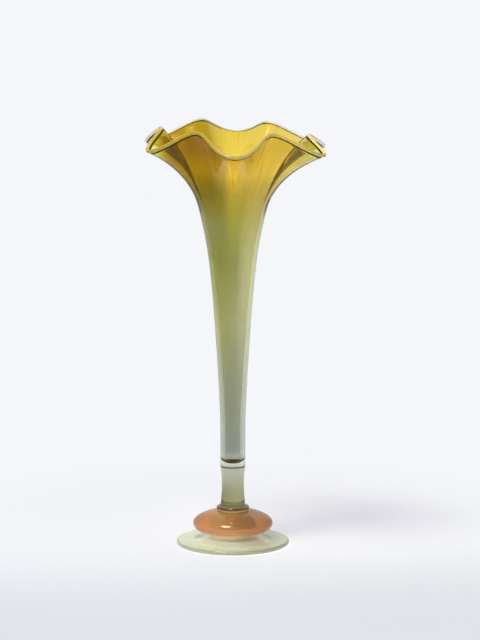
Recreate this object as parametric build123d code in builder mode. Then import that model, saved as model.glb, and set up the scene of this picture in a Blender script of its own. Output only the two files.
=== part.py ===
"""A footed trumpet vase in hot-worked glass, standing on its foot with its axis on +Z."""

import os
from math import asin, cos, pi, radians, sin, sqrt

from build123d import *

# Stack of the lower pieces, upwards from the table, in millimetres
foot_height = 6.0
knop_height = 18.5
merese_height = 3.5
shank_height = 29.0

# Foot plate
foot_diameter = 82.0
foot_edge_thickness = 3.2
ground_ring_width = 11.0
foot_seat_diameter = 26.0
foot_top_hollow = 0.5
kick_height = 2.4
kick_floor_diameter = 20.0
kick_arch = 0.35

# Pontil button under the foot
pontil_diameter = 15.0
pontil_height = 1.5
pontil_edge = 0.6

# Ball knop, a flattened ball that is cut flat where it meets its neighbours
knop_diameter = 58.0
knop_full_height = 20.2

# Collar and shank
merese_diameter = 24.0
merese_face_diameter = 21.0
shank_foot_diameter = 18.5
shank_waist_diameter = 16.0
joint_round = 0.5

# Trumpet: a short straight tube, then one long flare up to the mean level of the lip
stem_diameter = 18.0
tube_length = 25.0
flare_height = 212.5
flare_handle = 50.0
throat_guide_diameter = 40.0
throat_guide_height = 125.0
lip_diameter = 124.0
lip_angle = 57.0
lip_handle = 64.5

# Ruffle of the lip: lobes that droop outwards between crests that stand up
ruffle_lobes = 6
ruffle_height = 62.0
ruffle_reach = 9.0
ruffle_drop = 6.5
ruffle_sag = 1.5
ruffle_lean = 2.0
ruffle_sway = 1.5

# Walls of the two layers of the trumpet, at the tube and at the lip
tube_casing_wall = 2.8
lip_casing_wall = 1.2
tube_lining_wall = 0.7
lip_lining_wall = 0.8
casing_floor = 3.0
bore_round = 3.7
layer_gap = 0.05

# Thread wrapped round the lip
thread_diameter = 2.6

# How closely the hoops of the trumpet are laid
points_per_lobe = 8
flare_steps = 18
round_steps = 4
thread_steps = 6
slope_share = 0.0005

# Levels that follow from the stack
merese_base = foot_height + knop_height
shank_base = merese_base + merese_height
tube_base = shank_base + shank_height
flare_base = tube_base + tube_length
lip_level = flare_base + flare_height

# Foot plate: a ground ring on the table, a round edge, a hollow-curved top and a kick in the middle
foot_radius = foot_diameter / 2
edge_radius = foot_edge_thickness / 2
edge_start = foot_radius - edge_radius
ring_inner = edge_start - ground_ring_width
kick_floor = kick_floor_diameter / 2
kick_middle = ((kick_floor + ring_inner) / 2, kick_height / 2 + kick_arch)
foot_seat = foot_seat_diameter / 2
foot_middle = ((foot_seat + edge_start) / 2, (foot_height + foot_edge_thickness) / 2 - foot_top_hollow)
with BuildPart() as foot_plate:
    with BuildSketch(Plane.XZ):
        with BuildLine():
            Line((0, foot_height), (0, kick_height))
            Line((0, kick_height), (kick_floor, kick_height))
            ThreePointArc((kick_floor, kick_height), kick_middle, (ring_inner, 0))
            Line((ring_inner, 0), (edge_start, 0))
            ThreePointArc((edge_start, 0), (foot_radius, edge_radius), (edge_start, foot_edge_thickness))
            ThreePointArc((edge_start, foot_edge_thickness), foot_middle, (foot_seat, foot_height))
            Line((foot_seat, foot_height), (0, foot_height))
        make_face()
    revolve(axis=Axis.Z)
foot_plate.part.label = "foot_plate"

# Pontil button: a thin domed wafer on the floor of the kick, clear of the table
pontil_radius = pontil_diameter / 2
pontil_rim = kick_height - pontil_edge
pontil_low = kick_height - pontil_height
with BuildPart() as pontil_button:
    with BuildSketch(Plane.XZ):
        with BuildLine():
            Line((0, pontil_low), (0, kick_height))
            Line((0, kick_height), (pontil_radius, kick_height))
            Line((pontil_radius, kick_height), (pontil_radius, pontil_rim))
            Bezier((pontil_radius, pontil_rim), (pontil_radius, pontil_low), (0, pontil_low))
        make_face()
    revolve(axis=Axis.Z)
pontil_button.part.label = "pontil_button"

# Ball knop: the right half of an ellipse between the two flats, turned round the axis
with BuildPart() as ball_knop:
    with BuildSketch(Plane.XZ):
        with Locations((0, foot_height + knop_height / 2)):
            Ellipse(knop_diameter / 2, knop_full_height / 2)
            Rectangle(knop_diameter, knop_height, align=(Align.MIN, Align.CENTER), mode=Mode.INTERSECT)
    revolve(axis=Axis.Z)
ball_knop.part.label = "ball_knop"

# Collar: a wafer with a round edge between the knop and the shank
merese_face = merese_face_diameter / 2
merese_edge = (merese_diameter / 2, merese_base + merese_height / 2)
with BuildPart() as merese:
    with BuildSketch(Plane.XZ):
        with BuildLine():
            Line((0, shank_base), (0, merese_base))
            Line((0, merese_base), (merese_face, merese_base))
            ThreePointArc((merese_face, merese_base), merese_edge, (merese_face, shank_base))
            Line((merese_face, shank_base), (0, shank_base))
        make_face()
    revolve(axis=Axis.Z)
merese.part.label = "merese"

# Shank: a solid waisted column that carries the end of the tube
stem_radius = stem_diameter / 2
shank_foot = shank_foot_diameter / 2
shank_top = stem_radius - joint_round
shank_middle = (shank_waist_diameter / 2, shank_base + shank_height / 2)
with BuildPart() as stem_shank:
    with BuildSketch(Plane.XZ):
        with BuildLine():
            Line((0, tube_base), (0, shank_base))
            Line((0, shank_base), (shank_foot, shank_base))
            ThreePointArc((shank_foot, shank_base), shank_middle, (shank_top, tube_base))
            Line((shank_top, tube_base), (0, tube_base))
        make_face()
    revolve(axis=Axis.Z)
stem_shank.part.label = "stem_shank"

# Meridian of the flare before it is ruffled: upright at the tube, drawn out by the throat's guide point
# and leaning out at the lip
lip_radius = lip_diameter / 2
handle_radius = lip_radius - lip_handle * sin(radians(lip_angle))
handle_level = lip_level - lip_handle * cos(radians(lip_angle))
with BuildLine(Plane.XZ) as meridian:
    Bezier(
        (stem_radius, flare_base),
        (stem_radius, flare_base + flare_handle),
        (throat_guide_diameter / 2, flare_base + throat_guide_height),
        (handle_radius, handle_level),
        (lip_radius, lip_level),
    )


def skin(share, angle):
    """Point of the outer skin at a share of the way up the flare, with the ruffle laid on."""
    line = meridian.line @ share
    growth = max(0, 1 - (lip_level - line.Z) / ruffle_height) ** 2
    wave = cos(ruffle_lobes * angle)
    radius = line.X + growth * ruffle_reach * wave
    drop = ruffle_drop * wave - ruffle_sag * cos(2 * angle) + ruffle_lean * sin(angle)
    return Vector(radius * sin(angle) + growth * ruffle_sway, -radius * cos(angle), line.Z - growth * drop)


def within(share, angle, depth, lift=0):
    """Point a depth in from the outer skin, and a lift further up along it."""
    low = max(share - slope_share, 0)
    high = min(share + slope_share, 1)
    along = (skin(high, angle) - skin(low, angle)).normalized()
    across = skin(share, angle + slope_share) - skin(share, angle - slope_share)
    inward = along.cross(across).normalized()
    return skin(share, angle) + inward * depth + along * lift


def hoop(place):
    """Closed curve through the points that a place gives for the angles round the axis."""
    count = ruffle_lobes * points_per_lobe
    angles = [2 * pi * step / count for step in range(count)]
    return Wire([Edge.make_spline([place(angle) for angle in angles], periodic=True)])


def circle(radius, level):
    """Plain round hoop at a level."""
    return hoop(lambda angle: Vector(radius * sin(angle), -radius * cos(angle), level))


def sheet(hoops, ruled=False):
    """Faces laid through a row of hoops."""
    return list(Shell.make_loft(hoops, ruled).faces())


def trumpet_skin(tube_depth, lip_depth, corner, floor):
    """One skin of the trumpet, closed below by a flat floor with a round corner, and its lip hoop."""
    radius = stem_radius - tube_depth
    turns = [pi / 2 * step / round_steps for step in range(round_steps + 1)]
    bottom = [circle(radius - corner * (1 - sin(t)), floor + corner * (1 - cos(t))) for t in turns]
    flare = [circle(radius, flare_base)]
    for step in range(flare_steps):
        share = (step + 1) / flare_steps
        depth = tube_depth + (lip_depth - tube_depth) * share
        flare.append(hoop(lambda angle: within(share, angle, depth)))
    tube = [bottom[-1], flare[0]]
    return [Face(bottom[0])] + sheet(bottom) + sheet(tube, ruled=True) + sheet(flare), flare[-1]


# Skins of the trumpet from the outside in, each on its own depth, floor and corner
lining_depth = tube_casing_wall + layer_gap
lining_lip_depth = lip_casing_wall + layer_gap
lining_floor = tube_base + casing_floor + layer_gap
lining_round = bore_round + tube_lining_wall
bore_depth = lining_depth + tube_lining_wall
bore_lip_depth = lining_lip_depth + lip_lining_wall
bore_floor = lining_floor + tube_lining_wall
outer_faces, outer_lip = trumpet_skin(0, 0, joint_round, tube_base)
cavity_faces, cavity_lip = trumpet_skin(
    tube_casing_wall, lip_casing_wall, lining_round + layer_gap, tube_base + casing_floor
)
lining_faces, lining_lip = trumpet_skin(lining_depth, lining_lip_depth, lining_round, lining_floor)
bore_faces, bore_lip = trumpet_skin(bore_depth, bore_lip_depth, bore_round, bore_floor)

# Green casing: the wall between the outer skin and the cavity, closed over at the lip
casing_edge = sheet([outer_lip, cavity_lip], ruled=True)
casing_solid = Solid(Shell(outer_faces + cavity_faces + casing_edge))
with BuildPart() as green_casing:
    add(casing_solid)
green_casing.part.label = "green_casing"

# Amber lining: the closed bubble inside the casing, down to the round end of the bore
lining_edge = sheet([lining_lip, bore_lip], ruled=True)
lining_solid = Solid(Shell(lining_faces + bore_faces + lining_edge))
with BuildPart() as amber_lining:
    add(lining_solid)
amber_lining.part.label = "amber_lining"

# Lip wrap: a round thread with a flat seat that covers the edges of both layers
half_wall = bore_lip_depth / 2
thread_radius = thread_diameter / 2
thread_rise = layer_gap + sqrt(thread_radius**2 - half_wall**2)
half_turn = pi - asin(half_wall / thread_radius)
thread_hoops = []
for step in range(thread_steps + 1):
    turn = half_turn * (1 - 2 * step / thread_steps)
    thread_depth = half_wall - thread_radius * sin(turn)
    thread_lift = thread_rise + thread_radius * cos(turn)
    thread_hoops.append(hoop(lambda angle: within(1, angle, thread_depth, thread_lift)))
thread_seat = sheet([thread_hoops[0], thread_hoops[-1]], ruled=True)
thread_solid = Solid(Shell(sheet(thread_hoops) + thread_seat))
with BuildPart() as lip_wrap:
    add(thread_solid)
lip_wrap.part.label = "lip_wrap"

# One file for each piece
os.makedirs("parts", exist_ok=True)
export_step(green_casing.part, "parts/green_casing.step")
export_step(amber_lining.part, "parts/amber_lining.step")
export_step(lip_wrap.part, "parts/lip_wrap.step")
export_step(stem_shank.part, "parts/stem_shank.step")
export_step(merese.part, "parts/merese.step")
export_step(ball_knop.part, "parts/ball_knop.step")
export_step(foot_plate.part, "parts/foot_plate.step")
export_step(pontil_button.part, "parts/pontil_button.step")
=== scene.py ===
# %% [markdown]
# # A ruffled trumpet vase in hot-worked glass
#
# The vase is made of bits of glass that are gathered one by one and joined while they are soft: two
# layers for the trumpet, a thread round its lip, a solid shank, a collar, a ball knop, a foot and a
# wafer under the foot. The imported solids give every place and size. They are loaded first and stay
# fixed, and each piece below stands in for one of them with a finer surface and a real glass finish.

import bpy
import numpy as np
from mathutils import Euler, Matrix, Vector


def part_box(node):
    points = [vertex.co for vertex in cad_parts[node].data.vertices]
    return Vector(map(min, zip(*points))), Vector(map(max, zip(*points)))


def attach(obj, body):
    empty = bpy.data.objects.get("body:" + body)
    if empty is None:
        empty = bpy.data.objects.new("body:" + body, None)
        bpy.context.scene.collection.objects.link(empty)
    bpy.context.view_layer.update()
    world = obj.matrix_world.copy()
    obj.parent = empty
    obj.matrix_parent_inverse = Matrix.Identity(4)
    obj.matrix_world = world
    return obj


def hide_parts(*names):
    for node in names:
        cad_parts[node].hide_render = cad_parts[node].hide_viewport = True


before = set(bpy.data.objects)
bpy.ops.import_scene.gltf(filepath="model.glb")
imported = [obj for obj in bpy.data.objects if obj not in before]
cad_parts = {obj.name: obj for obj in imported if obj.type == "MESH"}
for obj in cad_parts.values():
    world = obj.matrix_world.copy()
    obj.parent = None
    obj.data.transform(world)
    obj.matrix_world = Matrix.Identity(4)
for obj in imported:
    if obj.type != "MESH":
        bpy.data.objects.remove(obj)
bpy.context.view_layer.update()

# %% [markdown]
# ## The camera
#
# The picture was taken with a long lens from a little above the lip, so upright lines stay nearly
# parallel and the foot shows as a flat oval. A camera can be turned by hand until it fits. Here its
# tilt is worked out from where the middle of the foot lies in the picture, so that the place of the
# vase in the frame follows from one pixel, the scale of the picture and the place of the eye.

# %% Camera
picture_width, picture_height = 480, 640
foot_pixel = (232.7, 543.0)
pixels_per_radian = 3315.0
sensor_long_side = 36.0
eye_distance, eye_height = 2.35, 0.558

across_angle = (foot_pixel[0] - picture_width / 2) / pixels_per_radian
down_angle = np.arctan((foot_pixel[1] - picture_height / 2) / pixels_per_radian)
tilt = np.arctan2(eye_height, eye_distance) - down_angle
lens = bpy.data.cameras.new("eye")
lens.sensor_width = sensor_long_side
lens.lens = pixels_per_radian * sensor_long_side / picture_height
eye = bpy.data.objects.new("eye", lens)
eye.location = (-across_angle * eye_distance, -eye_distance, eye_height)
eye.rotation_euler = Euler((np.pi / 2 - tilt, 0, 0))
bpy.context.collection.objects.link(eye)
bpy.context.scene.camera = eye
bpy.context.scene.view_settings.view_transform = "Standard"
print("lens", round(lens.lens, 1), "mm, tilted down", round(np.degrees(tilt), 2), "degrees")

# %% [markdown]
# ## Shader sockets as numbers
#
# Node trees are easier to read as sums than as wires. A small class holds one socket and adds a Math
# node for each sign in an expression, so `1 - mask * 0.5` means what it says. All other nodes come
# from one method that first makes the node's settings and then fills or links its sockets. A socket
# takes linear colours, so a tone that is known as it looks on a screen is turned into one first.


# %% Sockets and recipes
class Value:
    """One output socket of a recipe, with the arithmetic signs that the finishes use."""

    def __init__(self, recipe, socket):
        self.recipe = recipe
        self.socket = socket

    def out(self, name):
        """Another output of the same node."""
        return Value(self.recipe, self.socket.node.outputs[name])

    def math(self, operation, first, second):
        """A Math node on two values, of which either may be a plain number."""
        return self.recipe.node("ShaderNodeMath", {"operation": operation}, {0: first, 1: second})

    def __add__(self, other):
        return self.math("ADD", self, other)

    def __radd__(self, other):
        return self.math("ADD", other, self)

    def __sub__(self, other):
        return self.math("SUBTRACT", self, other)

    def __rsub__(self, other):
        return self.math("SUBTRACT", other, self)

    def __mul__(self, other):
        return self.math("MULTIPLY", self, other)

    def __rmul__(self, other):
        return self.math("MULTIPLY", other, self)

    def __truediv__(self, other):
        return self.math("DIVIDE", self, other)

    def __abs__(self):
        return self.math("ABSOLUTE", self, 0.0)


class Recipe:
    """A node tree that is filled by calls of node(), for a material or for the world."""

    def __init__(self, owner):
        owner.use_nodes = True
        self.owner = owner
        self.tree = owner.node_tree
        self.tree.nodes.clear()

    def node(self, kind, settings, sockets, output=0):
        """Adds a node, makes its settings, fills or links its sockets and gives one output."""
        made = self.tree.nodes.new(kind)
        stops = settings.pop("stops", None)
        for name, setting in settings.items():
            setattr(made, name, setting)
        if stops:
            ramp = made.color_ramp.elements
            while len(ramp) < len(stops):
                ramp.new(1.0)
            for element, (place, colour) in zip(ramp, stops):
                element.position = place
                element.color = colour
        for key, value in sockets.items():
            if isinstance(value, Value):
                self.tree.links.new(value.socket, made.inputs[key])
            else:
                made.inputs[key].default_value = value
        return Value(self, made.outputs[output])

    def mix(self, share, first, second, blend="MIX"):
        """A colour between two colours. A Mix node has its colours in sockets 6 and 7 and in output 2."""
        settings = {"data_type": "RGBA", "blend_type": blend}
        return self.node("ShaderNodeMix", settings, {0: share, 6: first, 7: second}, 2)

    def smooth_rise(self, value, low, high):
        """Zero below low, one above high and a smooth curve between."""
        sockets = {"Value": value, "From Min": low, "From Max": high}
        return self.node("ShaderNodeMapRange", {"interpolation_type": "SMOOTHERSTEP"}, sockets)

    def output(self, kind, shader):
        """Links a shader to the tree's output node."""
        end = self.tree.nodes.new(kind)
        self.tree.links.new(shader.socket, end.inputs["Surface"])


def tone(red, green, blue):
    """Linear colour of a tone on a screen by the sRGB curve, with each part from 0 to 255."""
    parts = np.array([red, green, blue]) / 255
    linear = np.where(parts <= 0.04045, parts / 12.92, ((parts + 0.055) / 1.055) ** 2.4)
    return (*linear.tolist(), 1.0)


print("white is", tone(255, 255, 255), "mid grey is", tone(128, 128, 128))

# %% [markdown]
# ## The ground
#
# The vase stands on a seamless pale ground. A curved paper sweep would do, but cameras that look from
# behind would stand on the wrong side of it. A wide disc under a plain pale sky gives the same picture
# from all round. Its rings lie closer together near the vase, where the shadow falls.


# %% Ground mesh
def disc_points(radius, rings, spokes):
    """Points of a flat disc: each ring's radius grows with the square of its share."""
    share = np.linspace(0, 1, rings + 1)[1:, None] ** 2
    turn = np.linspace(0, 2 * np.pi, spokes, endpoint=False)[None, :]
    flat = np.stack([share * np.cos(turn), share * np.sin(turn), 0 * share * turn], axis=-1)
    return radius * flat


def hoop_faces(rows, spokes):
    """Quads between neighbouring hoops, with the last spoke joined to the first."""
    row = np.arange(rows - 1)[:, None] * spokes
    this = np.arange(spokes)[None, :]
    following = (this + 1) % spokes
    corners = [row + this, row + following, row + spokes + following, row + spokes + this]
    return np.stack(np.broadcast_arrays(*corners), axis=-1).reshape(-1, 4)


def fan_faces(pole, first, spokes, upwards):
    """Triangles from a pole to the hoop that starts at a vertex number."""
    this = first + np.arange(spokes)
    following = first + (np.arange(spokes) + 1) % spokes
    sides = (this, following) if upwards else (following, this)
    return np.stack([np.full(spokes, pole), *sides], axis=-1)


def add_object(name, vertices, faces):
    """A smooth mesh object at the origin from arrays of vertices and lists of faces."""
    mesh = bpy.data.meshes.new(name)
    mesh.from_pydata(vertices.tolist(), [], faces)
    mesh.shade_smooth()
    made = bpy.data.objects.new(name, mesh)
    bpy.context.collection.objects.link(made)
    return made


ground_radius, ground_rings, ground_spokes = 14.0, 24, 96
ground_drop = 0.0001
ground_hoops = disc_points(ground_radius, ground_rings, ground_spokes)
ground_vertices = np.concatenate([np.zeros((1, 3)), ground_hoops.reshape(-1, 3)])
ground_vertices[:, 2] -= ground_drop
ground_faces = (1 + hoop_faces(ground_rings, ground_spokes)[:, ::-1]).tolist()
ground_faces += fan_faces(0, 1, ground_spokes, True).tolist()
ground = add_object("ground", ground_vertices, ground_faces)
print("ground:", len(ground.data.polygons), "faces")

# %% [markdown]
# ## The paper of the ground
#
# The ground is painted a little darker towards the viewer, a painted shade. Close to the foot it is
# plain paper, which takes the shadow of the vase. Further out it glows by itself, so it stays pale
# wherever the lamp's light falls off. Where the glass mirrors it, it is dimmer, because a full white
# reflection would lie over the colours of the glass like a veil. A ray that goes through glass counts
# as glossy too, so the mirrored ones are those that are glossy and don't pass through.

# %% Ground finish
pale_ground = tone(245, 246, 250)
# Painted shade: the ground's darker tone towards the viewer.
ground_painted_shade = tone(226, 228, 233)
dim_front, dim_reach, glow_reach = (-0.24, 0.05), (0.30, 1.60), (0.10, 0.32)
fibre_scale, fibre_detail = 900.0, 3.0
paper_roughness, fibre_smoothing, paper_shine = 0.9, 0.1, 0.1
mirrored_level = 0.60

paper = Recipe(bpy.data.materials.new("pale_paper"))
place = paper.node("ShaderNodeTexCoord", {}, {}, "Object")
behind = paper.node("ShaderNodeSeparateXYZ", {}, {0: place}, "Y")
distance = paper.node("ShaderNodeVectorMath", {"operation": "LENGTH"}, {0: place}, "Value")
fibre_sockets = {"Vector": place, "Scale": fibre_scale, "Detail": fibre_detail}
fibre = paper.node("ShaderNodeTexNoise", {}, fibre_sockets, "Fac")
near_viewer = 1 - paper.smooth_rise(behind, *dim_front)
painted_dimness = near_viewer * (1 - paper.smooth_rise(distance, *dim_reach))
paper_colour = paper.mix(painted_dimness, pale_ground, ground_painted_shade)
paper_shader = paper.node(
    "ShaderNodeBsdfPrincipled",
    {},
    {
        "Base Color": paper_colour,
        "Roughness": paper_roughness - fibre_smoothing * fibre,
        "Specular IOR Level": paper_shine,
    },
)
through_glass = paper.node("ShaderNodeLightPath", {}, {}, "Is Transmission Ray")
mirrored = through_glass.out("Is Glossy Ray") * (1 - through_glass)
ground_glow = 1 - (1 - mirrored_level) * mirrored
far_shader = paper.node("ShaderNodeEmission", {}, {"Color": paper_colour, "Strength": ground_glow})
farness = paper.smooth_rise(distance, *glow_reach)
ground_shader = paper.node("ShaderNodeMixShader", {}, {0: farness, 1: paper_shader, 2: far_shader})
paper.output("ShaderNodeOutputMaterial", ground_shader)
ground.data.materials.append(paper.owner)
print("ground finish:", len(paper.tree.nodes), "nodes")

# %% [markdown]
# ## The sky
#
# The camera sees a plain pale sky, and its light on the ground is dimmer, so that the lamp's shadow
# shows. Glass only looks like glass when it has something to bend, so for rays that pass through it
# the sky dims towards the left and the right, which draws the dark edges of the trunk. Mirrored rays
# meet the same dimmer level as on the ground.

# %% Sky
plain_sky = 0.36
bent_front, bent_side = 1.10, 0.62
side_start, side_end = 0.70, 0.97

sky = Recipe(bpy.data.worlds.new("studio"))
bpy.context.scene.world = sky.owner
ray = sky.node("ShaderNodeTexCoord", {}, {}, "Generated")
ray_across = sky.node("ShaderNodeSeparateXYZ", {}, {0: ray}, "X")
side_shade = sky.node(
    "ShaderNodeMapRange",
    {"interpolation_type": "SMOOTHSTEP"},
    {
        "Value": abs(ray_across),
        "From Min": side_start,
        "From Max": side_end,
        "To Min": bent_front,
        "To Max": bent_side,
    },
)
bent_ray = sky.node("ShaderNodeLightPath", {}, {}, "Is Transmission Ray")
mirrored_ray = bent_ray.out("Is Glossy Ray") * (1 - bent_ray)
camera_ray = bent_ray.out("Is Camera Ray")
mirrored_part = (mirrored_level - plain_sky) * mirrored_ray
bent_part = (side_shade - plain_sky) * bent_ray
sky_level = plain_sky + mirrored_part + bent_part
sky_strength = camera_ray + sky_level * (1 - camera_ray)
sky_light = sky.node("ShaderNodeBackground", {}, {"Color": pale_ground, "Strength": sky_strength})
sky.output("ShaderNodeOutputWorld", sky_light)
print("sky finish:", len(sky.tree.nodes), "nodes")

# %% [markdown]
# ## The lamp
#
# One soft lamp stands high at the front left, so that the bell throws a faint round shadow on the
# ground to the right and behind. A spot or a sun would draw a hard edge, so it is a wide disc. It can't
# be seen through the glass, where its small image would only sparkle.

# %% Lamp
lamp_size, lamp_power = 0.75, 38.5
lamp_distance, lamp_rise, lamp_turn = 2.2, np.radians(67.5), np.radians(47)
lamp_aim = Vector((0, 0, 0.15))

lamp_data = bpy.data.lights.new("soft_lamp", "AREA")
lamp_data.shape = "DISK"
lamp_data.size = lamp_size
lamp_data.energy = lamp_power
lamp = bpy.data.objects.new("soft_lamp", lamp_data)
lamp.location = lamp_aim + lamp_distance * Vector(
    (-np.cos(lamp_rise) * np.cos(lamp_turn), -np.cos(lamp_rise) * np.sin(lamp_turn), np.sin(lamp_rise))
)
lamp.rotation_euler = (lamp_aim - lamp.location).to_track_quat("-Z", "Y").to_euler()
lamp.visible_transmission = False
bpy.context.collection.objects.link(lamp)
print("lamp at", [round(part, 2) for part in lamp.location], "with", lamp_power, "W")

# %% [markdown]
# ## The line of the flare
#
# The gaffer blows a tube and opens its end into a flare. Seen from the side, the wall is one smooth
# curve that leaves the tube upright and leans out at the lip. A line through many points would need
# all of them changed to bend it anew. A Bezier curve needs five, and each has a meaning.

# %% Flare line
casing_low, casing_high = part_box("green_casing")
tube_base = casing_low.z
stem_radius, tube_length, flare_height = 0.009, 0.025, 0.2125
flare_base = tube_base + tube_length
lip_level, lip_radius = flare_base + flare_height, 0.062
flare_handle, lip_handle, lip_angle = 0.050, 0.0645, np.radians(57)
throat_guide_radius, throat_guide_height = 0.020, 0.125


def flare_line(share):
    """Radius and level along the flare: a Bezier curve with five knots from the tube to the mean lip."""
    knots = np.array(
        [
            [stem_radius, flare_base],
            [stem_radius, flare_base + flare_handle],
            [throat_guide_radius, flare_base + throat_guide_height],
            [lip_radius - lip_handle * np.sin(lip_angle), lip_level - lip_handle * np.cos(lip_angle)],
            [lip_radius, lip_level],
        ]
    )
    ways = np.array([1, 4, 6, 4, 1])
    power = np.arange(len(knots))
    share = np.asarray(share)[..., None]
    weights = ways * share**power * (1 - share) ** power[::-1]
    return np.moveaxis(weights @ knots, -1, 0)


print("halfway up the flare, radius and level are", np.round(flare_line(0.5), 4), "m")

# %% [markdown]
# ## The ruffle
#
# While the lip is soft it is swung, and it folds into lobes. In numbers that is a wave laid on the
# turned curve: it pushes the lip out and down at each lobe and lets it stand up between them, and it
# fades out down the bell. The inner skins are the same form moved in along its own normals, so the
# wall keeps its thickness through the folds, which a scaled copy would not do.

# %% Ruffled skin
lobes, ruffle_height = 6, 0.062
ruffle_reach, ruffle_drop = 0.009, 0.0065
ruffle_sag, ruffle_lean, ruffle_sway = 0.0015, 0.002, 0.0015
wobble_waves = [(3, 0.0009, 0.7), (5, 0.0007, 2.1), (2, 0.0006, -1.0)]
wobble_turn = 2
slope_step = 1e-4


def hand_wobble(angle):
    """Small unevenness of the lip: three slow waves, each with a count, a height and a start."""
    return sum(height * np.cos(count * angle + start) for count, height, start in wobble_waves)


def skin(share, angle):
    """Outer skin: the flare line turned round the axis, plus lobes, a sag of two waves and a lean.

    They grow towards the lip with the square of the height above the ruffle's foot.
    """
    radius, level = flare_line(share)
    growth = np.clip(1 - (lip_level - level) / ruffle_height, 0, None) ** 2
    wave = np.cos(lobes * angle)
    drop = ruffle_drop * wave - ruffle_sag * np.cos(2 * angle) + ruffle_lean * np.sin(angle)
    out = radius + growth * (ruffle_reach * wave + hand_wobble(angle))
    across = out * np.sin(angle) + growth * ruffle_sway
    height = level - growth * (drop + hand_wobble(angle + wobble_turn))
    return np.stack([across, -out * np.cos(angle), height], axis=-1)


def unit(vectors):
    """Vectors of length one: each divided by its own length."""
    return vectors / np.linalg.norm(vectors, axis=-1, keepdims=True)


def within(share, angle, depth, lift=0.0):
    """The outer skin moved in by a depth along its normal and up along itself by a lift."""
    along = unit(skin(share + slope_step, angle) - skin(share - slope_step, angle))
    across = unit(skin(share, angle + slope_step) - skin(share, angle - slope_step))
    inward = unit(np.cross(along, across))
    depth, lift = np.asarray(depth)[..., None], np.asarray(lift)[..., None]
    return skin(share, angle) + inward * depth + along * lift


print("lip from", round(skin(1.0, 0.0)[2], 4), "to", round(skin(1.0, np.pi / lobes)[2], 4), "m")

# %% [markdown]
# ## Hoops of a skin
#
# Each skin is a stack of hoops from a pole at the bottom up to the lip: a flat floor, a round corner,
# a straight tube and the flare. One skin up and another one down again make a closed wall. A Solidify
# modifier gives a wall too, but it needs painted weights to thin it towards the lip, as this one does.

# %% Hoops
spokes, flare_steps, tube_steps, corner_steps = 288, 110, 10, 8
around = np.linspace(0, 2 * np.pi, spokes, endpoint=False)[None, :]
flare_rows = np.linspace(0, 1, flare_steps)[1:, None]
line_points = np.stack(flare_line(flare_rows[:, 0]), axis=-1)
line_steps = np.linalg.norm(np.diff(line_points, axis=0), axis=-1)
line_lengths = np.concatenate([[0.0], np.cumsum(line_steps)])
length_share = (line_lengths / line_lengths[-1])[:, None]


def turned(radius, level, angle):
    """Plain hoops: each radius and level carried round the axis."""
    return np.stack([radius * np.sin(angle), -radius * np.cos(angle), level + 0 * angle], axis=-1)


def corner_line(radius, corner, floor, steps):
    """Radius and level of a flat floor with a round corner, from the pole to the straight wall."""
    turn = np.linspace(0, np.pi / 2, steps)
    radii = np.concatenate([[0.0, (radius - corner) / 2], radius - corner * (1 - np.sin(turn))])
    levels = np.concatenate([[floor, floor], floor + corner * (1 - np.cos(turn))])
    return radii, levels


def trumpet_skin(tube_depth, lip_depth, corner, floor):
    """Rows of one skin from its pole up to the lip: floor, round corner, straight tube and flare."""
    radii, levels = corner_line(stem_radius - tube_depth, corner, floor, corner_steps)
    tube_levels = np.linspace(levels[-1], flare_base, tube_steps)[1:]
    radii = np.concatenate([radii, np.full(len(tube_levels), stem_radius - tube_depth)])
    levels = np.concatenate([levels, tube_levels])
    lower = turned(radii[:, None], levels[:, None], around)
    upper = within(flare_rows, around, tube_depth + (lip_depth - tube_depth) * length_share)
    return np.concatenate([lower, upper])


def lathe_object(name, rows):
    """A closed mesh from hoops whose first and last are poles, with faces that point outwards."""
    count, width = rows.shape[0] - 2, rows.shape[1]
    vertices = np.concatenate([rows[:1, 0], rows[1:-1].reshape(-1, 3), rows[-1:, 0]])
    faces = (1 + hoop_faces(count, width)).tolist()
    faces += fan_faces(0, 1, width, False).tolist()
    faces += fan_faces(len(vertices) - 1, 1 + (count - 1) * width, width, True).tolist()
    return add_object(name, vertices, faces)


print("the flare is", round(line_lengths[-1], 4), "m long in", len(flare_rows), "hoops of", spokes, "points")

# %% [markdown]
# ## Casing and lining
#
# The casing is the wall between the outer skin and the cavity, and the lining fills the cavity with a
# thinner bubble. Two glasses that are fused have no air between them. If the two meshes only touched,
# a ray would meet both faces at once, and with a gap it would bounce in the air between. So the
# lining reaches a tenth of a millimetre into the casing, which lets rays pass as they do in the glass.

# %% Casing and lining meshes
fused, layer_gap = 0.0001, 0.00005
casing_wall, casing_lip_wall = 0.0028, 0.0012
lining_wall, lining_lip_wall = 0.0007, 0.0008
casing_floor, bore_round, joint_round = 0.003, 0.0037, 0.00015
lining_round = bore_round + lining_wall
lining_depth, lining_lip_depth = casing_wall + layer_gap, casing_lip_wall + layer_gap
bore_depth, bore_lip_depth = lining_depth + lining_wall, lining_lip_depth + lining_lip_wall
cavity_floor = tube_base + casing_floor
bore_floor = cavity_floor + layer_gap + lining_wall

outer_rows = trumpet_skin(0, 0, joint_round, tube_base)
cavity_rows = trumpet_skin(casing_wall, casing_lip_wall, lining_round, cavity_floor)
lining_rows = trumpet_skin(casing_wall - fused, casing_lip_wall - fused, lining_round, cavity_floor - fused)
bore_rows = trumpet_skin(bore_depth, bore_lip_depth, bore_round, bore_floor)
casing = lathe_object("casing", np.concatenate([outer_rows, cavity_rows[::-1]]))
lining = lathe_object("lining", np.concatenate([lining_rows, bore_rows[::-1]]))
print("casing", len(casing.data.polygons), "faces, lining", len(lining.data.polygons), "faces")

# %% [markdown]
# ## Lip thread
#
# A thread of pale glass is trailed round the lip while it turns. A curve with a round bevel would come
# close, but it wouldn't sit flat. Here the section is a circle with a flat where it sits on the two
# layers, carried round the lip by the same normals.

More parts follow.
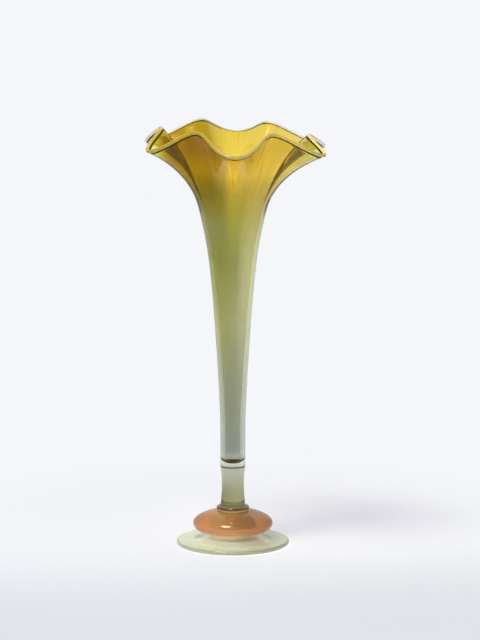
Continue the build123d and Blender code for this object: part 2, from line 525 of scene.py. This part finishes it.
# %% Lip thread mesh
thread_radius, thread_steps = 0.0013, 20
half_wall = bore_lip_depth / 2
thread_rise = np.sqrt(thread_radius**2 - half_wall**2) - fused
half_turn = np.pi - np.arcsin(half_wall / thread_radius)
thread_turn = np.linspace(half_turn, -half_turn, thread_steps)[:, None]
thread_depth = half_wall - thread_radius * np.sin(thread_turn)
thread_lift = thread_rise + thread_radius * np.cos(thread_turn)
thread_rows = within(np.ones((1, 1)), around, thread_depth, thread_lift)
last_hoop = (thread_steps - 1) * spokes
this_spoke = np.arange(spokes)
next_spoke = (this_spoke + 1) % spokes
seat_faces = np.stack([last_hoop + this_spoke, last_hoop + next_spoke, next_spoke, this_spoke], axis=-1)
thread_faces = hoop_faces(thread_steps, spokes).tolist() + seat_faces.tolist()
lip_thread = add_object("lip_thread", thread_rows.reshape(-1, 3), thread_faces)
print("lip thread", len(lip_thread.data.polygons), "faces")

# %% [markdown]
# ## Shank and collar
#
# The shank is a solid column drawn in at its waist, and the collar is a wafer with a round edge. Like
# the rest of the vase they are turned: a line from the lower pole out and up to the upper pole is
# carried round the axis, with arcs for its round stretches. A Screw modifier would turn the line too,
# but it leaves a pile of points at each pole, and the hoops of the trumpet close it with one. Each
# piece reaches a tenth of a millimetre into the next one, for the same reason as the lining.


# %% Shank and collar meshes
def arc_line(start, middle, end, steps):
    """Points on the circle through three points, from the first to the last."""
    (x1, y1), (x2, y2), (x3, y3) = start, middle, end
    lean = 2 * (x1 * (y2 - y3) + x2 * (y3 - y1) + x3 * (y1 - y2))
    square = np.array([x1 * x1 + y1 * y1, x2 * x2 + y2 * y2, x3 * x3 + y3 * y3])
    centre_x = square @ np.array([y2 - y3, y3 - y1, y1 - y2]) / lean
    centre_y = square @ np.array([x3 - x2, x1 - x3, x2 - x1]) / lean
    angles = np.unwrap([np.arctan2(y - centre_y, x - centre_x) for x, y in (start, middle, end)])
    sweep = np.linspace(angles[0], angles[2], steps)
    radius = np.hypot(x1 - centre_x, y1 - centre_y)
    return np.stack([centre_x + radius * np.cos(sweep), centre_y + radius * np.sin(sweep)], axis=-1)


def turned_object(name, line):
    """A closed piece from a line of radius and level between two poles, on every second spoke."""
    return lathe_object(name, turned(line[:, :1], line[:, 1:], around[:, ::2]))


shank_low, shank_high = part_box("stem_shank")
shank_waist, shank_steps = 0.0080, 60
shank_middle = (shank_waist, (shank_low.z + shank_high.z) / 2)
shank_top = (stem_radius - joint_round, shank_high.z + fused)
shank_side = arc_line((shank_high.x, shank_low.z), shank_middle, shank_top, shank_steps)
shank_line = np.concatenate([[(0, shank_low.z)], shank_side, [(0, shank_high.z + fused)]])
shank = turned_object("shank", shank_line)

collar_low, collar_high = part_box("merese")
collar_face, collar_steps = 0.0105, 30
collar_middle = (collar_high.x, (collar_low.z + collar_high.z) / 2)
collar_top = (collar_face, collar_high.z + fused)
collar_side = arc_line((collar_face, collar_low.z), collar_middle, collar_top, collar_steps)
collar_line = np.concatenate([[(0, collar_low.z)], collar_side, [(0, collar_high.z + fused)]])
collar = turned_object("collar", collar_line)
print("shank", len(shank.data.polygons), "faces, collar", len(collar.data.polygons), "faces")

# %% [markdown]
# ## Ball knop
#
# A bit of hot glass is dropped on the foot and pressed, so it is a flattened ball with a flat above
# and a flat below. A scaled sphere would have no flats. The line is the part of an ellipse that lies
# between the two levels.

# %% Ball knop mesh
knop_low, knop_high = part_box("ball_knop")
knop_full_height, knop_steps = 0.0202, 90
knop_middle = (knop_low.z + knop_high.z) / 2
knop_limit = np.arcsin((knop_high.z - knop_low.z) / knop_full_height)
knop_turn = np.linspace(-knop_limit, knop_limit, knop_steps)
knop_levels = knop_middle + knop_full_height / 2 * np.sin(knop_turn)
knop_side = np.stack([knop_high.x * np.cos(knop_turn), knop_levels], axis=-1)
knop_line = np.concatenate([[(0, knop_low.z)], knop_side, [(0, knop_high.z + fused)]])
knop = turned_object("knop", knop_line)
print("knop", round(2 * knop_high.x, 4), "m wide,", len(knop.data.polygons), "faces")

# %% [markdown]
# ## Foot and pontil wafer
#
# The foot is a spun disc with a round edge and a slightly hollow top. Underneath, a flat ring is ground
# so that it stands level, and the middle is pushed up into a kick. A plain disc would do for the
# picture, but clear glass shows its underside, so the ring and the kick are arcs of the same line. A
# small wafer in the kick covers the mark of the pontil rod. Its own line is a Bezier curve, so that
# its face is domed and meets the axis level.

# %% Foot and pontil wafer meshes
foot_low, foot_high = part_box("foot_plate")
foot_radius, foot_edge, foot_seat, foot_hollow = foot_high.x, 0.0032, 0.013, 0.0005
ground_ring_width, kick_floor, kick_height, kick_arch = 0.011, 0.010, 0.0024, 0.00035
kick_steps, edge_steps, top_steps = 24, 24, 40
foot_top = foot_high.z + fused
edge_start = foot_radius - foot_edge / 2
ring_inner = edge_start - ground_ring_width
kick_middle = ((kick_floor + ring_inner) / 2, kick_height / 2 + kick_arch)
foot_middle = ((foot_seat + edge_start) / 2, (foot_high.z + foot_edge) / 2 - foot_hollow)
foot_line = np.concatenate(
    [
        [(0, kick_height)],
        arc_line((kick_floor, kick_height), kick_middle, (ring_inner, 0), kick_steps),
        arc_line((edge_start, 0), (foot_radius, foot_edge / 2), (edge_start, foot_edge), edge_steps),
        arc_line((edge_start, foot_edge), foot_middle, (foot_seat, foot_top), top_steps)[1:],
        [(0, foot_top)],
    ]
)
foot = turned_object("foot", foot_line)

wafer_low, wafer_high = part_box("pontil_button")
wafer_edge, wafer_steps = 0.0006, 24
wafer_radius, wafer_top = wafer_high.x, kick_height + fused
wafer_rim = kick_height - wafer_edge
wafer_share = np.linspace(0, 1, wafer_steps)[:, None]
wafer_knots = np.array([[0, wafer_low.z], [wafer_radius, wafer_low.z], [wafer_radius, wafer_rim]])
wafer_weights = np.concatenate(
    [(1 - wafer_share) ** 2, 2 * wafer_share * (1 - wafer_share), wafer_share**2], axis=1
)
wafer_line = np.concatenate([wafer_weights @ wafer_knots, [(wafer_radius, wafer_top), (0, wafer_top)]])
wafer = turned_object("pontil_wafer", wafer_line)
print("foot", len(foot.data.polygons), "faces, wafer", len(wafer.data.polygons), "faces")

# %% [markdown]
# ## Glass
#
# All pieces are clear glass with their colour in the body of the glass. The colours below are shares
# of red, green and blue light that one wall lets through. They run with the height, because a gather
# thins as it is drawn out, and their edges are made uneven by faint upright streaks from the pull. The
# surface is fire polished, with a slow ripple that only shows in reflections. Light that a lamp sends
# through glass is bent into bright patches that a path tracer rarely finds. So for rays to the lamp the
# glass is a plain filter of a cool grey, which gives the pale soft shadow of the real thing.

# %% Glass recipe
noise_middle = 0.5
streak_rise, streak_scale, streak_detail, streak_edge = 4.0, 7.0, 2.0, 0.25
line_rise, line_scale, line_detail, line_span = 1.2, 38.0, 3.0, (0.50, 0.80)
line_grey = (0.80, 0.80, 0.76, 1.0)
ripple_scale, ripple_detail, ripple_height = 60.0, 1.0, 0.0001
fire_polish, ripple_roughness = 0.01, 0.03
lobe_span = (0.040, 0.060)
glass_index, cool_power = 1.5, 0.7
white_gloss = (1.0, 1.0, 1.0, 1.0)


class Glass(Recipe):
    """A glass finish: a clear bending shader, and a plain filter for rays that look for a lamp."""

    def __init__(self, name):
        super().__init__(bpy.data.materials.new(name))
        self.place = self.node("ShaderNodeTexCoord", {}, {}, "Object")
        self.level = self.node("ShaderNodeSeparateXYZ", {}, {0: self.place}, "Z")
        level_ground = {0: self.place, 1: (1.0, 1.0, 0.0)}
        flat = self.node("ShaderNodeVectorMath", {"operation": "MULTIPLY"}, level_ground)
        self.outward = self.node("ShaderNodeVectorMath", {"operation": "NORMALIZE"}, {0: flat})
        self.streaks = self.drawn_noise(streak_rise, streak_scale, streak_detail) - noise_middle
        ripple_sockets = {"Vector": self.place, "Scale": ripple_scale, "Detail": ripple_detail}
        self.ripple = self.node("ShaderNodeTexNoise", {}, ripple_sockets, "Fac")

    def drawn_noise(self, rise, scale, detail):
        """Upright streaks: noise that changes fast round the axis and slowly with the height."""
        stretch = {0: self.place, 1: (0.0, 0.0, rise), 2: self.outward}
        drawn = self.node("ShaderNodeVectorMath", {"operation": "MULTIPLY_ADD"}, stretch)
        sockets = {"Vector": drawn, "Scale": scale, "Detail": detail}
        return self.node("ShaderNodeTexNoise", {}, sockets, "Fac")

    def share_of_height(self, low, high, streak):
        """How far up between two levels, moved a little by the streaks."""
        return (self.level - low) / (high - low) + streak * self.streaks

    def ramp(self, share, stops):
        """Colour by share, from stops of a share and the light that a wall lets through."""
        full = [(place, (*colour, 1.0)) for place, colour in stops]
        return self.node("ShaderNodeValToRGB", {"stops": full}, {0: share})

    def facing(self, turn):
        """One on the side of the vase at a turn from the front, minus one on the far side."""
        sockets = {0: self.outward, 1: (float(np.sin(turn)), -float(np.cos(turn)), 0.0)}
        return self.node("ShaderNodeVectorMath", {"operation": "DOT_PRODUCT"}, sockets, "Value")

    def side_mask(self, turn, low, high):
        """One over the side at a turn and zero on the far side, with an edge made uneven by the streaks."""
        return self.smooth_rise(self.facing(turn) + streak_edge * self.streaks, low, high)

    def outer_lobes(self):
        """One at the tips of the lobes on the left and the right, which are drawn out furthest."""
        return self.smooth_rise(abs(self.level.out("X")), *lobe_span)

    def pull_lines(self, colour):
        """The colour with fine upright lines, a little darker, where the glass was drawn unevenly."""
        lines = self.smooth_rise(self.drawn_noise(line_rise, line_scale, line_detail), *line_span)
        return self.mix(lines, colour, line_grey, "MULTIPLY")

    def done(self, colour, shadow, clear=1.0, index=glass_index, gloss=white_gloss, matt=None):
        """Builds the shader from the colour and the share of a lamp's light that each face lets by."""
        bump = self.node("ShaderNodeBump", {}, {"Height": self.ripple, "Distance": ripple_height})
        roughness = fire_polish + ripple_roughness * self.ripple
        if matt:
            roughness = roughness + matt
        body = self.node(
            "ShaderNodeBsdfPrincipled",
            {},
            {
                "Base Color": colour,
                "Roughness": roughness,
                "IOR": index,
                "Transmission Weight": clear,
                "Specular Tint": gloss,
                "Normal": bump,
            },
        )
        cool_grey = (shadow, shadow, shadow**cool_power, 1.0)
        for_lamps = self.node("ShaderNodeBsdfTransparent", {}, {"Color": cool_grey})
        to_lamp = self.node("ShaderNodeLightPath", {}, {}, "Is Shadow Ray")
        glass = self.node("ShaderNodeMixShader", {}, {0: to_lamp, 1: body, 2: for_lamps})
        self.output("ShaderNodeOutputMaterial", glass)
        return self.owner


mirrored_share = ((glass_index - 1) / (glass_index + 1)) ** 2
print("a face of glass mirrors", round(mirrored_share, 3), "of the light that meets it square on")

# %% [markdown]
# ## Finish of the casing
#
# The casing goes from a grey green tube to a golden bell. A single ramp up the height would make all
# sides alike, but here shade and light are painted in by direction: a painted shade of dark olive runs
# up the front, the left side is a painted shade of deep amber and the right side is painted pale as
# painted light. So four ramps run up the height, the glass's own tone and three of painted shade or
# light, and masks by direction join them.
# The tips of the lobes at the far left and right are drawn thin and let more light through, and fine
# lines follow the pull. The gloss is tinted gold, so that mirrored light keeps to the colour of the bell.

# %% Casing finish
tube_floor = [(0.0, (0.68, 0.70, 0.57)), (0.025, (0.74, 0.76, 0.65))]
casing_light = [
    (0.05, (0.86, 0.90, 0.82)),
    (0.24, (0.87, 0.91, 0.78)),
    (0.43, (0.95, 0.97, 0.83)),
    (0.62, (0.97, 0.98, 0.79)),
    (0.72, (0.95, 0.95, 0.68)),
    (0.82, (0.92, 0.88, 0.56)),
    (0.88, (0.98, 0.89, 0.50)),
    (0.95, (0.98, 0.88, 0.44)),
]
# Painted shade: a dark olive band up the front of the trunk and throat, darker than the glass's own tone.
casing_front_painted_shade = [
    (0.05, (0.77, 0.79, 0.71)),
    (0.24, (0.75, 0.79, 0.63)),
    (0.43, (0.76, 0.78, 0.50)),
    (0.62, (0.56, 0.59, 0.30)),
    (0.72, (0.64, 0.67, 0.32)),
    (0.82, (0.71, 0.68, 0.32)),
    (0.88, (0.99, 0.90, 0.33)),
    (0.95, (0.98, 0.86, 0.34)),
]
# Painted shade: the left side darker, a deep amber at the bell, as if turned from the light.
casing_left_painted_shade = [
    (0.05, (0.82, 0.85, 0.76)),
    (0.24, (0.81, 0.85, 0.70)),
    (0.43, (0.83, 0.85, 0.60)),
    (0.62, (0.68, 0.70, 0.40)),
    (0.72, (0.66, 0.69, 0.54)),
    (0.82, (0.52, 0.51, 0.30)),
    (0.88, (0.64, 0.56, 0.09)),
    (0.95, (0.53, 0.42, 0.06)),
]
# Painted light: the right side paler, as if lit through.
casing_right_painted_light = [
    (0.05, (0.86, 0.90, 0.82)),
    (0.43, (0.96, 0.98, 0.82)),
    (0.62, (0.98, 0.99, 0.80)),
    (0.72, (0.89, 0.90, 0.73)),
    (0.82, (0.83, 0.81, 0.67)),
    (0.88, (0.88, 0.89, 0.78)),
    (0.95, (0.81, 0.82, 0.73)),
]
thin_lobe = (0.92, 0.97, 0.70, 1.0)
trumpet_span, trumpet_streak = (casing_low.z, casing_high.z), 0.04
# Turns and reaches of the masks for the painted front shade, the painted left shade and the painted right
# light.
front_painted_shade_turn, left_painted_shade_turn, right_painted_light_turn = np.radians(-12), np.radians(-90), np.radians(70)
front_painted_shade_reach, left_painted_shade_reach, right_painted_light_reach = (0.30, 1.0), (-0.05, 0.50), (0.30, 1.0)
golden_gloss = (1.0, 0.78, 0.20, 1.0)
casing_filter = 0.70


def dress(piece, material, node):
    """Gives a piece its finish, the body that it rides on and the solid that it stands for."""
    piece.data.materials.append(material)
    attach(piece, "root")
    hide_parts(node)
    print(piece.name, "stands for", node)


def green_gather():
    """Casing: green tube and golden bell, with painted shade down the front and on the left, painted light
    on the right, and paler where the lobes are drawn thin.
    """
    finish = Glass("green_gather")
    share = finish.share_of_height(*trumpet_span, trumpet_streak)
    tones = (casing_light, casing_front_painted_shade, casing_left_painted_shade, casing_right_painted_light)
    # After the glass's own tone come painted shade down the front, painted shade on the left and painted
    # light on the right.
    light, streak, painted_left_shade, painted_right_light = [finish.ramp(share, tube_floor + stops) for stops in tones]
    front = finish.mix(finish.side_mask(front_painted_shade_turn, *front_painted_shade_reach), light, streak)
    # This mask lays the painted shade over the left side.
    shaded = finish.mix(finish.side_mask(left_painted_shade_turn, *left_painted_shade_reach), front, painted_left_shade)
    thinned = finish.mix(finish.outer_lobes(), shaded, thin_lobe)
    # This mask lays the painted light over the right side.
    sides = finish.mix(finish.side_mask(right_painted_light_turn, *right_painted_light_reach), thinned, painted_right_light)
    return finish.done(finish.pull_lines(sides), casing_filter, gloss=golden_gloss)


dress(casing, green_gather(), "green_casing")

# %% [markdown]
# ## Finish of the lining
#
# The lining is amber in the bell and smoky where it is drawn out in the tube. It is fused to the
# casing, so a ray should bend only where it leaves the lining for the air. With the full index of
# glass, its two close faces throw rays to and fro and draw a hatch that fused glass doesn't have. A
# low index keeps the colour without the hatch. It throws no shadow, because the filter of the casing
# already stands for both layers.

# %% Lining finish
# Painted light: the floor of the bore is painted pale, over the dark that the many glass crossings give
# there.
lining_floor_painted_light = [(0.0, (0.92, 0.92, 0.90)), (0.03, (0.86, 0.86, 0.84))]
lining_tube = [(0.05, (0.66, 0.66, 0.66)), (0.24, (0.68, 0.67, 0.63)), (0.43, (0.75, 0.74, 0.63))]
lining_bell = [
    (0.62, (0.77, 0.75, 0.60)),
    (0.72, (0.80, 0.75, 0.50)),
    (0.82, (0.87, 0.75, 0.29)),
    (0.88, (0.99, 0.83, 0.22)),
    (0.95, (0.94, 0.77, 0.16)),
]
# Painted light: the lining's right side paler, as if lit through.
lining_right_painted_light = [
    (0.62, (0.77, 0.75, 0.60)),
    (0.72, (0.80, 0.75, 0.52)),
    (0.82, (0.87, 0.76, 0.42)),
    (0.88, (0.99, 0.84, 0.41)),
    (0.95, (0.95, 0.80, 0.36)),
]
thin_bubble = (0.96, 0.90, 0.42, 1.0)
lining_painted_light_reach, lining_filter, lining_index = (-0.30, 0.90), 0.95, 1.15


def amber_bubble():
    """Lining: amber in the bell, smoky grey in the tube, painted lighter on the right and at the bore's
    floor as painted light.
    """
    finish = Glass("amber_bubble")
    share = finish.share_of_height(*trumpet_span, trumpet_streak)
    amber = finish.ramp(share, lining_floor_painted_light + lining_tube + lining_bell)
    painted_right_light = finish.ramp(share, lining_floor_painted_light + lining_tube + lining_right_painted_light)
    # The mask on the right mixes in the painted light.
    sides = finish.mix(finish.side_mask(right_painted_light_turn, *lining_painted_light_reach), amber, painted_right_light)
    thinned = finish.mix(finish.outer_lobes(), sides, thin_bubble)
    return finish.done(thinned, lining_filter, index=lining_index, gloss=golden_gloss)


dress(lining, amber_bubble(), "amber_lining")
lining.visible_shadow = False

# %% [markdown]
# ## Finish of the lip thread
#
# The thread is a little milky, so part of its light comes from its surface. Along the back it is pale,
# along the front it picks up the gold of the bell, and at the front left it is a painted shade of dark
# amber. One mask for the front and one for the left side are enough for this.

# %% Lip thread finish
thread_pale, thread_gold = (0.92, 0.88, 0.78, 1.0), (0.97, 0.80, 0.26, 1.0)
# Painted shade: the dark amber of the thread at the front left.
thread_painted_shade = (0.76, 0.58, 0.08, 1.0)
front_side, front_reach, thread_painted_shade_reach = 0.0, (-0.4, 0.4), (-0.25, 0.35)
thread_filter, thread_clear = 0.9, 0.6


def lip_trail():
    """Lip thread: pale along the back, gold along the front and a painted shade of dark amber at the front
    left.
    """
    finish = Glass("pale_thread")
    front = finish.side_mask(front_side, *front_reach)
    painted_shade_share = front * finish.side_mask(left_painted_shade_turn, *thread_painted_shade_reach)
    lit = finish.mix(front, thread_pale, thread_gold)
    return finish.done(finish.mix(painted_shade_share, lit, thread_painted_shade), thread_filter, clear=thread_clear)


dress(lip_thread, lip_trail(), "lip_wrap")

# %% [markdown]
# ## Finishes of the shank and the collar
#
# Both are solid, so a ray crosses much more glass than in a wall and the colours are deeper. An
# absorbing volume would deepen them by itself, but it slows the render and the exported model loses
# it, so the depth is in the colour. It changes from the lower end to the upper end, as one gather
# runs into the next, and has the fine lines of drawn glass.

# %% Shank and collar finishes
solid_streak = 0.1
shank_stops = [(0.0, (0.38, 0.37, 0.15)), (0.4, (0.39, 0.40, 0.22)), (1.0, (0.50, 0.51, 0.41))]
collar_stops = [(0.0, (0.56, 0.50, 0.22)), (1.0, (0.50, 0.50, 0.26))]
shank_filter, collar_filter = 0.6, 0.75


def plain_glass(name, low, high, stops, shadow):
    """A gather of one colour that changes a little from its lower end to its upper end."""
    finish = Glass(name)
    colour = finish.ramp(finish.share_of_height(low.z, high.z, solid_streak), stops)
    return finish.done(finish.pull_lines(colour), shadow)


shank_finish = plain_glass("pale_shank", shank_low, shank_high, shank_stops, shank_filter)
dress(shank, shank_finish, "stem_shank")
collar_finish = plain_glass("green_wafer", collar_low, collar_high, collar_stops, collar_filter)
dress(collar, collar_finish, "merese")

# %% [markdown]
# ## Finish of the knop
#
# The knop is a dense orange red, and painted pale below as painted light. Dense glass scatters a part
# of the light. Scattering below the surface would show that too, but a path tracer needs many samples
# for it inside glass, so a quarter of the shader is a plain painted body instead. The side away from
# the lamp is a painted shade, deeper in colour, and the gloss is warm.

# %% Knop finish
# The lowest stops are painted pale, painted light on the lower part of the knop. Above them is its orange
# red.
knop_stops = [
    (0.05, (0.80, 0.77, 0.50)),
    (0.22, (0.80, 0.55, 0.36)),
    (0.45, (0.72, 0.32, 0.15)),
    (0.75, (0.68, 0.26, 0.07)),
    (1.0, (0.57, 0.22, 0.04)),
]
# Painted shade: a deeper orange laid on the side away from the lamp. The gloss is warm.
knop_painted_shade, warm_gloss = (0.40, 0.17, 0.06, 1.0), (1.0, 0.85, 0.60, 1.0)
painted_shade_away_turn, knop_painted_shade_reach, knop_painted_shade_share = np.radians(80), (0.0, 0.9), 0.8
knop_filter, knop_clear = 0.80, 0.75


def orange_ball():
    """Knop: pale below as painted light, orange red above, and a painted shade deeper away from the lamp."""
    finish = Glass("orange_ball")
    share = finish.share_of_height(knop_low.z, knop_high.z, solid_streak)
    painted_shade_away = finish.side_mask(painted_shade_away_turn, *knop_painted_shade_reach)
    ball = finish.mix(knop_painted_shade_share * painted_shade_away, finish.ramp(share, knop_stops), knop_painted_shade)
    return finish.done(ball, knop_filter, clear=knop_clear, gloss=warm_gloss)


dress(knop, orange_ball(), "ball_knop")

# %% [markdown]
# ## Finishes of the foot and the wafer
#
# The foot is a pale green plate, a little milky, with a painted shade that makes it deeper on the side
# away from the lamp. Its ring is ground with grit, so the lowest half millimetre is matt, and it shows
# through the plate as a frosted band. A bump of fine grains would frost it as well, but roughness does
# it without noise. The wafer is a bit of pale glass like the foot's.

# %% Foot and wafer finishes
plate_stops = [(0.0, (0.71, 0.73, 0.58)), (1.0, (0.68, 0.70, 0.51))]
# Painted shade: a deeper green on the side away from the lamp.
plate_painted_shade, plate_painted_shade_reach, plate_painted_shade_share = (0.50, 0.52, 0.36, 1.0), (0.1, 1.0), 0.6
plate_filter, plate_clear = 0.96, 0.8
ring_levels, ring_roughness = (0.0001, 0.0005), 0.35
wafer_stops, wafer_filter = [(0.0, (0.90, 0.92, 0.76)), (1.0, (0.88, 0.90, 0.72))], 0.96


def green_plate():
    """Foot: pale green, a painted shade a little deeper away from the lamp, and matt on its ground ring."""
    finish = Glass("pale_green_plate")
    plate = finish.ramp(finish.share_of_height(foot_low.z, foot_high.z, solid_streak), plate_stops)
    painted_shade_away = finish.side_mask(painted_shade_away_turn, *plate_painted_shade_reach)
    colour = finish.mix(plate_painted_shade_share * painted_shade_away, plate, plate_painted_shade)
    ground_ring = 1 - finish.smooth_rise(finish.level, *ring_levels)
    return finish.done(colour, plate_filter, clear=plate_clear, matt=ring_roughness * ground_ring)


dress(foot, green_plate(), "foot_plate")
wafer_finish = plain_glass("pale_wafer", wafer_low, wafer_high, wafer_stops, wafer_filter)
dress(wafer, wafer_finish, "pontil_button")
